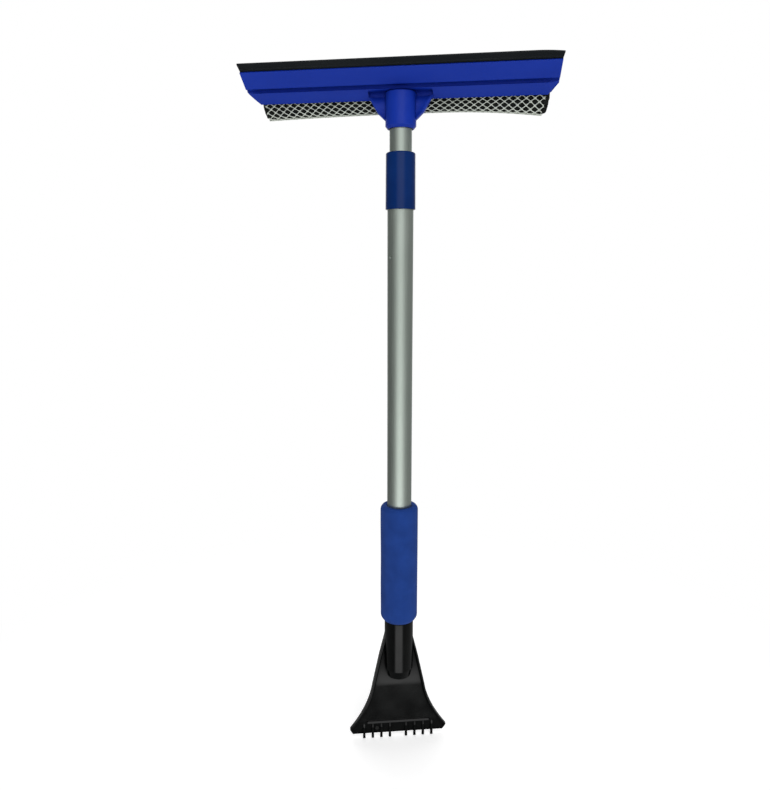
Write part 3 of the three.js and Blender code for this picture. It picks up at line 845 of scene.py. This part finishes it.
def hip_cutter(side):
    """A wedge that takes the corner off one end of the lower panel."""
    crease = Vector((HEAD_SHIFT + side * (HEAD_HALF_WIDTH - 11), -(CREASE.x - 1.5), CREASE.y - 2.8))
    low = Vector((HEAD_SHIFT + side * (LOWER_EDGE_HALF_WIDTH + 0.6), -LOWER_EDGE.x, LOWER_EDGE.y - 0.6))
    end = Vector((HEAD_SHIFT + side * (HEAD_HALF_WIDTH + 1), -(CREASE.x - 3.2), CREASE.y - 0.9))
    out = (low - crease).cross(end - crease).normalized()
    if out.z > 0:
        out.negate()
    spread = Vector((side * 14, 0, 0))
    base = [crease, low, low + spread, end + spread, end]
    return skin("hip", [[tuple(p) for p in base], [tuple(p + out * 9) for p in base]], HEAD_TURN)


def at_clamp_screws(name, radius, front, back):
    """A bar along Y at each of the clamp's screws."""
    height = CLAMP_SCREW_HEIGHT
    return [level_bar(name, radius, front, back, x, height, HEAD_TURN) for x in CLAMP_SCREW_PLACES]


def housing(plastic):
    """The head's one moulding: panels, trough, gussets and socket."""
    shell = across("head_shell", housing_section(), housing_reach, 0.28, HEAD_TURN, HEAD_SHIFT)
    combine(shell, [hip_cutter(1), hip_cutter(-1)], "DIFFERENCE")
    socket = lathe("socket", rounded([
        (0, SOCKET_MOUTH, 0),
        (SOCKET_RADIUS - 1.8, SOCKET_MOUTH, 0.4),
        (SOCKET_RADIUS, SOCKET_MOUTH + 2.2, 0.8),
        (SOCKET_RADIUS, SOCKET_TOP, 0.8),
        (0, SOCKET_TOP, 0),
    ], 6), HEAD_TURN, 144)
    ribs = [trough_rib(28 * i) for i in range(-4, 5)]
    bosses = at_clamp_screws("boss", 3.4, 9, TRAY_FACE + 1)
    combine(shell, [bracket()], "UNION")
    combine(shell, [pocket()], "DIFFERENCE")
    combine(shell, [socket, *ribs, *bosses], "UNION")
    bore_radius = INNER_HIGH.x + TOUCH_GAP
    bore_top = INNER_HIGH.z + TOUCH_GAP
    bore = lathe("bore", rounded([
        (0, SOCKET_MOUTH - 5, 0), (bore_radius + 3, SOCKET_MOUTH - 5, 0),
        (bore_radius, SOCKET_MOUTH + 0.7, 0.5), (bore_radius, bore_top, 0), (0, bore_top, 0),
    ], 4), HEAD_TURN)
    holes = at_clamp_screws("hole", SCREW_HOLE, 7.6, -5)
    holes.append(level_bar("hole", SCREW_HOLE, 0, -SOCKET_RADIUS - 3, 0, HEAD_SCREW_HEIGHT, HEAD_TURN))
    combine(shell, [bore, *holes], "DIFFERENCE")
    shade(shell)
    finished(shell, "head", "blue_plastic", plastic, "head_housing")


def droop(lip, low, high):
    """Lets the blade's free edge hang a little at its +X end. Below the low height nothing moves."""
    start, drop = 106, 1.3
    shape = bmesh.new()
    shape.from_mesh(lip.data)
    for x in range(start, round(BLADE_TIP_HALF_WIDTH) - 2, 2):
        parts = shape.verts[:] + shape.edges[:] + shape.faces[:]
        bmesh.ops.bisect_plane(shape, geom=parts, plane_co=(x * MM, 0, 0), plane_no=(1, 0, 0))
    for vertex in shape.verts:
        past = max(0.0, (vertex.co.x / MM - start) / (BLADE_TIP_HALF_WIDTH - start))
        free = clamped((vertex.co.z / MM - low) / (high - low))
        vertex.co.z -= drop * MM * past ** 2 * free
    shape.to_mesh(lip.data)
    shape.free()


def blade(rubber):
    """The rubber blade: a bead held in the slot, and a lip with two fine ribs along its root."""
    back = BLADE_SETBACK + BLADE_THICKNESS
    foot = BLADE_LIP - 5.5
    bead = BLADE_LIP - 2.3
    front = BLADE_SETBACK
    corners = [(on_panel(BLADE_TIP, front), 0.15), (on_panel(BLADE_LIP + 2.3, front), 0.1)]
    for rib in (1.9, 1.1):
        corners.append((on_panel(BLADE_LIP + rib + 0.15, front), 0.08))
        corners.append((on_panel(BLADE_LIP + rib, front - 0.22), 0.08))
        corners.append((on_panel(BLADE_LIP + rib - 0.15, front), 0.08))
    corners += [
        (on_panel(foot, front), 0.3),
        (on_panel(foot, back + 2.2), 0.4),
        (on_panel(bead, back + 2.2), 0.4),
        (on_panel(bead, back), 0.3),
        (on_panel(BLADE_TIP, back - 0.4), 0.15),
    ]
    outline = rounded([(p.x, p.y, radius) for p, radius in corners], 3)
    foot_height = on_panel(foot, front).y
    tip_height = on_panel(BLADE_TIP, front).y

    def reach(forward, height):
        rise = clamped((height - foot_height) / (tip_height - foot_height))
        return HEAD_HALF_WIDTH + (BLADE_TIP_HALF_WIDTH - HEAD_HALF_WIDTH) * rise

    lip = across("blade_rubber", outline, reach, 0.15, HEAD_TURN, HEAD_SHIFT)
    droop(lip, on_panel(BLADE_LIP, front).y, tip_height)
    shade(lip)
    finished(lip, "head", "black_rubber", rubber, "squeegee_blade")


def clamp(plastic):
    """The strip that nips the net's edge against the tray's wall."""
    low, high = 428.6, TRAY_TOP - 0.2
    half = 114.0
    front = TRAY_FACE - TOUCH_GAP
    outline = rounded([(-half, low, 2), (half, low, 2), (half, high, 2), (-half, high, 2)], 8)
    strip = frontal("clamp_strip", outline, front, front - CLAMP_THICKNESS, 0.5, HEAD_TURN)
    combine(strip, at_clamp_screws("hole", SCREW_HOLE, 1, -6), "DIFFERENCE")
    shade(strip)
    finished(strip, "head", "blue_plastic", plastic, "net_clamp")


# ---- sponge and net

SPONGE_CORNERS = [                # [forward, height, radius] where the net runs round the foam
    (-9, 409.2, 1.5),
    (-9, 397.6, 8.5),
    (-40.5, 404.3, 11),
    (-42.5, 436.5, 11),
    (-9.5, 435, 4.5),
    (-7.4, 427.2, 2.5),
]
SPONGE_INSIDE = [(-1.6, 427.2, 0.8), (-1.6, 412.2, 0.8)]    # and where it is against the tray's wall
SPONGE_HALF_WIDTH = 120.8
SPONGE_LOW = 397.4
SPONGE_ARCH = 30                  # the foam's underside is highest here, to +X of the socket
SPONGE_SAG = 6.2                  # and hangs this much lower at its +X end
SPONGE_SAG_BEHIND = 2.8           # and this much at the other
SPONGE_SAG_TOP = 409.2            # nothing above this height sags
SOCKET_RELIEF = 13.3              # radius of the notch cut in the foam round the head's socket
NET_RADIUS = 0.43
NET_CELL_WIDTH = 7.0
NET_CELL_HEIGHT = 4.1
NET_SKEW = 0.3                    # how far the rows slant where the net was pulled askew, at -X
NET_STOP = 2.4                    # the net stops this far from the sponge's +X end
NET_TUCK = 1.4                    # and this far from the other


def net_path():
    """The [forward, height] line that the net follows round the sponge, and its distances."""
    arc_points = 7
    outline = rounded(SPONGE_CORNERS + SPONGE_INSIDE, arc_points - 1)
    covered = outline[arc_points - 2:arc_points * len(SPONGE_CORNERS)]
    return along(covered + [Vector((-2.6, 427.2))], 0.5)


def askew(x, s):
    """How far sideways the net's rows are pulled: not at all on its +X half."""
    return NET_SKEW * (np.clip(s, 0, 45) - 8) * np.clip(-x / 60, 0, 1)


def lattice_distance(x, s):
    """How far places on the net's surface are from the nearest strand, in millimetres."""
    x = x - askew(x, s)
    slant = math.hypot(1 / NET_CELL_WIDTH, 1 / NET_CELL_HEIGHT)
    rising = x / NET_CELL_WIDTH + s / NET_CELL_HEIGHT
    falling = x / NET_CELL_WIDTH - s / NET_CELL_HEIGHT
    off = np.minimum(np.abs(rising - np.round(rising)), np.abs(falling - np.round(falling)))
    return off / slant


def sponge_reach(forward, height):
    """Half the foam's width at a height: its ends slant in towards the underside."""
    taper = 3.0 * (1 - clamped((height - SPONGE_LOW) / 10.6))
    return SPONGE_HALF_WIDTH - taper


def read_vectors(source, attribute):
    values = np.empty(len(source) * 3)
    source.foreach_get(attribute, values)
    return values.reshape(-1, 3)


def quilt(block):
    """Draws the foam in under each strand of the net, so that it bulges a little in the cells."""
    depth, spread = 0.55, 0.8
    path, places = net_path()
    line = np.array([tuple(p) for p in path])
    spots = read_vectors(block.data.vertices, "co")
    normals = read_vectors(block.data.vertex_normals, "vector")
    forward, height = -spots[:, 1] / MM, spots[:, 2] / MM
    gaps = np.hypot(line[:, 0] - forward[:, None], line[:, 1] - height[:, None])
    nearest = gaps.argmin(axis=1)
    on_net = (gaps.min(axis=1) < 1.2) & (np.abs(spots[:, 0]) < (SPONGE_HALF_WIDTH - 2) * MM)
    away = lattice_distance(spots[:, 0] / MM, places[nearest])
    drawn_in = np.where(on_net, depth * MM * np.exp(-(away / spread) ** 2), 0)
    block.data.vertices.foreach_set("co", (spots - normals * drawn_in[:, None]).ravel())
    block.data.update()


def sag(piece):
    """Lowers the underside of the foam or the net towards its ends."""
    spots = read_vectors(piece.data.vertices, "co")
    low, top = SPONGE_LOW * MM, SPONGE_SAG_TOP * MM
    share = 1 - np.clip((spots[:, 2] - low) / (top - low), 0, 1)
    out = spots[:, 0] / MM - SPONGE_ARCH
    span = np.where(out > 0, SPONGE_HALF_WIDTH - SPONGE_ARCH, SPONGE_HALF_WIDTH + SPONGE_ARCH)
    hang = np.where(out > 0, SPONGE_SAG, SPONGE_SAG_BEHIND)
    spots[:, 2] -= hang * MM * share * (out / span) ** 2
    piece.data.vertices.foreach_set("co", spots.ravel())
    piece.data.update()


def sponge(foam):
    """The foam block, quilted where the net draws it in."""
    outline = rounded(SPONGE_CORNERS + SPONGE_INSIDE, 8)
    block = across("sponge_block", outline, sponge_reach, 1.2, HEAD_TURN)
    radius, low, high = SOCKET_RELIEF, SOCKET_MOUTH - 2.6, SOCKET_TOP + 1.5
    relief = lathe("relief", [(0, low), (radius, low), (radius, high), (0, high)], HEAD_TURN, 64)
    combine(block, [relief], "DIFFERENCE")
    remesh = block.modifiers.new("remesh", "REMESH")
    remesh.mode = "VOXEL"
    remesh.voxel_size = 1.1 * MM
    bake(block)
    quilt(block)
    fine = block.modifiers.new("fine", "SUBSURF")
    fine.levels = 1
    fine.render_levels = 1
    bake(block)
    texture = bpy.data.textures.new("foam_cells", "VORONOI")
    texture.noise_scale = 0.0016
    texture.distance_metric = "DISTANCE"
    cells = block.modifiers.new("cells", "DISPLACE")
    cells.texture = texture
    cells.texture_coords = "LOCAL"
    cells.strength = 0.0007
    cells.mid_level = 0.75
    bake(block)
    sag(block)
    block.data.shade_smooth()
    finished(block, "head", "black_sponge", foam, "sponge")


def net(yarn):
    """The knotless net: two families of strands that slant across each other round the sponge."""
    path, places = net_path()
    line = np.array([tuple(p) for p in path])
    steps = np.gradient(line, axis=0)
    steps /= np.linalg.norm(steps, axis=1)[:, None]
    outward = np.stack([steps[:, 1], -steps[:, 0]], axis=1)
    middle = line.mean(axis=0)
    if np.sum(outward * (line - middle)) < 0:
        outward = -outward
    length = float(places[-1])
    left, right = -SPONGE_HALF_WIDTH + NET_TUCK, SPONGE_HALF_WIDTH - NET_STOP
    parting = 0.12                # how far each strand moves off the middle where two cross
    past_socket = 26              # this far along its path the net is clear of the socket
    random.seed(11)

    def place(x, s, sign, phase):
        """A point of a strand, the way out of the surface there, and how near it is to a crossing."""
        spot = [float(np.interp(s, places, line[:, i])) for i in (0, 1)]
        out = [float(np.interp(s, places, outward[:, i])) for i in (0, 1)]
        knot = math.cos(math.pi * phase) ** 4
        lift = TOUCH_GAP + NET_RADIUS * 0.6 + parting * sign * knot
        centre = Vector((x, -(spot[0] + out[0] * lift), spot[1] + out[1] * lift))
        return centre, Vector((0, -out[0], out[1])).normalized(), knot

    shape = bmesh.new()
    slope = NET_CELL_WIDTH / NET_CELL_HEIGHT
    step = NET_CELL_HEIGHT / 6
    reach = int((right - left + length * slope) / NET_CELL_WIDTH) + 2
    for sign in (1, -1):
        for k in range(-reach, reach + 1):
            first, last = left + random.uniform(0, 0.8), right - random.uniform(0, 1.2)
            run = []
            for n in range(int(length / step) + 1):
                s = n * step
                x = NET_CELL_WIDTH * k - sign * s * slope
                phase = x / NET_CELL_WIDTH - s / NET_CELL_HEIGHT * sign
                x += askew(x, s)
                clear = abs(x) > SOCKET_RELIEF + 0.6 or s > past_socket
                end = sponge_reach(0, float(np.interp(s, places, line[:, 1]))) - SPONGE_HALF_WIDTH
                if first - end < x < last + end and clear:
                    run.append(place(x, s, sign, phase))
                else:
                    add_strand(shape, run)
                    run = []
            add_strand(shape, run)
    strands = close_up("net_strands", shape, HEAD_TURN)
    sag(strands)
    strands.data.shade_smooth()
    finished(strands, "head", "pale_net", yarn, "sponge_net")


def add_strand(shape, run):
    """A capped tube along a run of (centre, way out, knot), broad only where strands cross."""
    if len(run) < 3:
        return
    rings = []
    for i, (centre, out, knot) in enumerate(run):
        way = (run[min(i + 1, len(run) - 1)][0] - run[max(i - 1, 0)][0]).normalized()
        side = way.cross(out).normalized()
        up = side.cross(way)
        tall, wide = NET_RADIUS * 1.08, NET_RADIUS * (0.62 + 0.95 * knot)
        ring = []
        for angle in full_turn(6):
            offset = up * math.cos(angle) * tall + side * math.sin(angle) * wide
            ring.append(shape.verts.new((centre + offset) * MM))
        rings.append(ring)
    add_walls(shape, rings)


# ---- ice scraper

SCRAPER_SOCKET_RADIUS = 13.4
SCRAPER_SOCKET_END = -103.7
SCRAPER_SCREW_HEIGHT = -80.0
SCRAPING_EDGE = -177.6
FAN_TOP = -64.0
FLARE_START = -124                # the fan's sides are straight above this height and curve out below
TOOTH_PLACES = (7.9, 16.3, 24.7, 33.1)
TOOTH_TIP = -182.2


def fan_sides():
    """[height, half width] down the fan: straight wings, then a flare out to the corners."""
    def straight(height):
        tuck = 0.7 * clamped((height + 92) / 18)
        return 13.9 + (-72.4 - height) * 0.216 - tuck

    start = Vector((straight(FLARE_START), FLARE_START))
    bend, corner = Vector((28.9, -147.9)), Vector((46.9, -170.5))
    rows = [(z, straight(z)) for z in np.linspace(FAN_TOP, FLARE_START, 14, endpoint=False)]
    for t in np.linspace(0, 1, 26):
        p = start * (1 - t) ** 2 + bend * 2 * t * (1 - t) + corner * t ** 2
        rows.append((p.y, p.x))
    rows += [(-171.9, 46.8), (-173.6, 46.1), (-175.6, 45.2), (SCRAPING_EDGE, 44.1)]
    return rows


def fan():
    """The blade of the scraper: a thin panel between raised rims, from [height, forward] lines."""
    front = ((FAN_TOP, -5.5), (-121, -1.0), (-164.6, -2.6), (SCRAPING_EDGE, -4.4))
    rim = ((FAN_TOP, 2.6), (-148, 1.8), (-169.6, -1.2), (SCRAPING_EDGE, -4.2))
    back = ((FAN_TOP, -6.8), (-128, -5.4), (SCRAPING_EDGE, -5.4))
    rim_width = 1.5

    def at(height, line):
        heights = [-h for h, _ in line]
        return float(np.interp(-height, heights, [d for _, d in line]))

    rings = []
    for height, half in fan_sides():
        face, lip, rear = at(height, front), at(height, rim), at(height, back)
        lip = max(lip, face + 0.06)
        slope = min(1.3, 0.35 + (lip - face) * 0.5)
        inner = half - rim_width
        corners = [
            (-half, rear, 0.5), (half, rear, 0.5), (half, lip, 0.55), (inner, lip, 0.5),
            (inner - slope, face, 0.6), (slope - inner, face, 0.6), (-inner, lip, 0.5), (-half, lip, 0.55),
        ]
        rings.append([(p.x, -p.y, height) for p in rounded(corners, 4)])
    return skin("scraper", rings, SCRAPER_TURN)


def tooth(x):
    """A tooth that hangs past the scraping edge, with a rib above it on the panel."""
    outline = rounded([
        (-2.9, -165.2, 0), (-4.8, -165.6, 0), (-5, -174, 0), (-4.5, TOOTH_TIP, 0.4),
        (-3.0, TOOTH_TIP, 0.5), (-1.8, -169.6, 0.8),
    ], 4)

    def reach(forward, height):
        if height > SCRAPING_EDGE + 3:
            return 0.9
        return 1.2 + 0.45 * min(1.0, (height - TOOTH_TIP) / 5)

    return across("tooth", outline, reach, 0.2, SCRAPER_TURN, x)


def scraper(plastic):
    """The scraper's one moulding: fan, socket with a tapered closed end, ridge, round mark and teeth."""
    body = fan()
    radius = SCRAPER_SOCKET_RADIUS
    top = GRIP_LOW.z - TOUCH_GAP
    end = SCRAPER_SOCKET_END
    closed = end - 8.4
    socket = lathe("socket", rounded([
        (0, closed, 0), (11.2, closed, 1.8), (12.7, end - 0.4, 0.3), (12.9, end, 0.2),
        (radius, end, 0.8), (radius, top, 0.5), (0, top, 0),
    ], 5), SCRAPER_TURN, 144)
    ridge_section = rounded([(-4, -162, 0), (-4, -166.8, 0), (-1.4, -165.6, 0.4), (-1.8, -163.4, 0.4)], 3)
    ridge = across("ridge", ridge_section, lambda f, h: 30.2 + (f + 1.6) * 0.6, 0.3, SCRAPER_TURN)
    mark = level_bar("mark", 2.0, -2.9, -5, -20.5, -171.6, SCRAPER_TURN)
    teeth = [tooth(side * place) for side in (-1, 1) for place in TOOTH_PLACES]
    combine(body, [socket, ridge, mark, *teeth], "UNION")
    bore = OUTER_HIGH.x + TOUCH_GAP
    bore_end = OUTER_LOW.z - 1.2
    drain = end - 3
    hollow = lathe("hollow", [
        (0, drain), (7.5, drain), (7.5, bore_end), (bore, bore_end), (bore, top + 1), (0, top + 1),
    ], SCRAPER_TURN)
    hole = level_bar("hole", SCREW_HOLE, 0, -radius - 3, 0, SCRAPER_SCREW_HEIGHT, SCRAPER_TURN)
    combine(body, [hollow, hole], "DIFFERENCE")
    shade(body)
    finished(body, "handle", "black_plastic", plastic, "scraper_body")


# ---- assembly

add_camera()
add_stage()

metal = drawn_aluminium()
steel = zinc_steel()
blue = blue_plastic()

outer_tube(metal)
inner_tube(metal)
collar(collar_plastic())
grip(grip_foam())
scraper(black_plastic())
housing(blue)
blade(blade_rubber())
clamp(blue)
sponge(open_foam())
net(net_yarn())

clamp_seat = TRAY_FACE - TOUCH_GAP - CLAMP_THICKNESS
for number, x in enumerate(CLAMP_SCREW_PLACES, 1):
    screw(f"clamp_screw_head_{number}", f"clamp_screw_{number}", "head", steel,
          clamp_seat, 6.5, SMALL_HEAD, x, CLAMP_SCREW_HEIGHT, HEAD_TURN)
screw("head_fixing", "head_screw", "head", steel,
      -SOCKET_RADIUS, -6, LARGE_HEAD, 0, HEAD_SCREW_HEIGHT, HEAD_TURN)
screw("scraper_fixing", "scraper_screw", "handle", steel,
      -SCRAPER_SOCKET_RADIUS, -10.1, LARGE_HEAD, 0, SCRAPER_SCREW_HEIGHT, SCRAPER_TURN)

white_lock = lock_plastic("lock_plastic", (0.67, 0.67, 0.62), (0.6, 0.6, 0.54))
black_lock = lock_plastic("cap_plastic", (0.01, 0.01, 0.01), (0.016, 0.016, 0.017))
INSIDE = {"lock_ring": white_lock, "lock_plug": white_lock, "lock_cap": black_lock, "plug_pin": steel}
for node, material in INSIDE.items():
    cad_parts[node].data.materials.clear()
    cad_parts[node].data.materials.append(material)
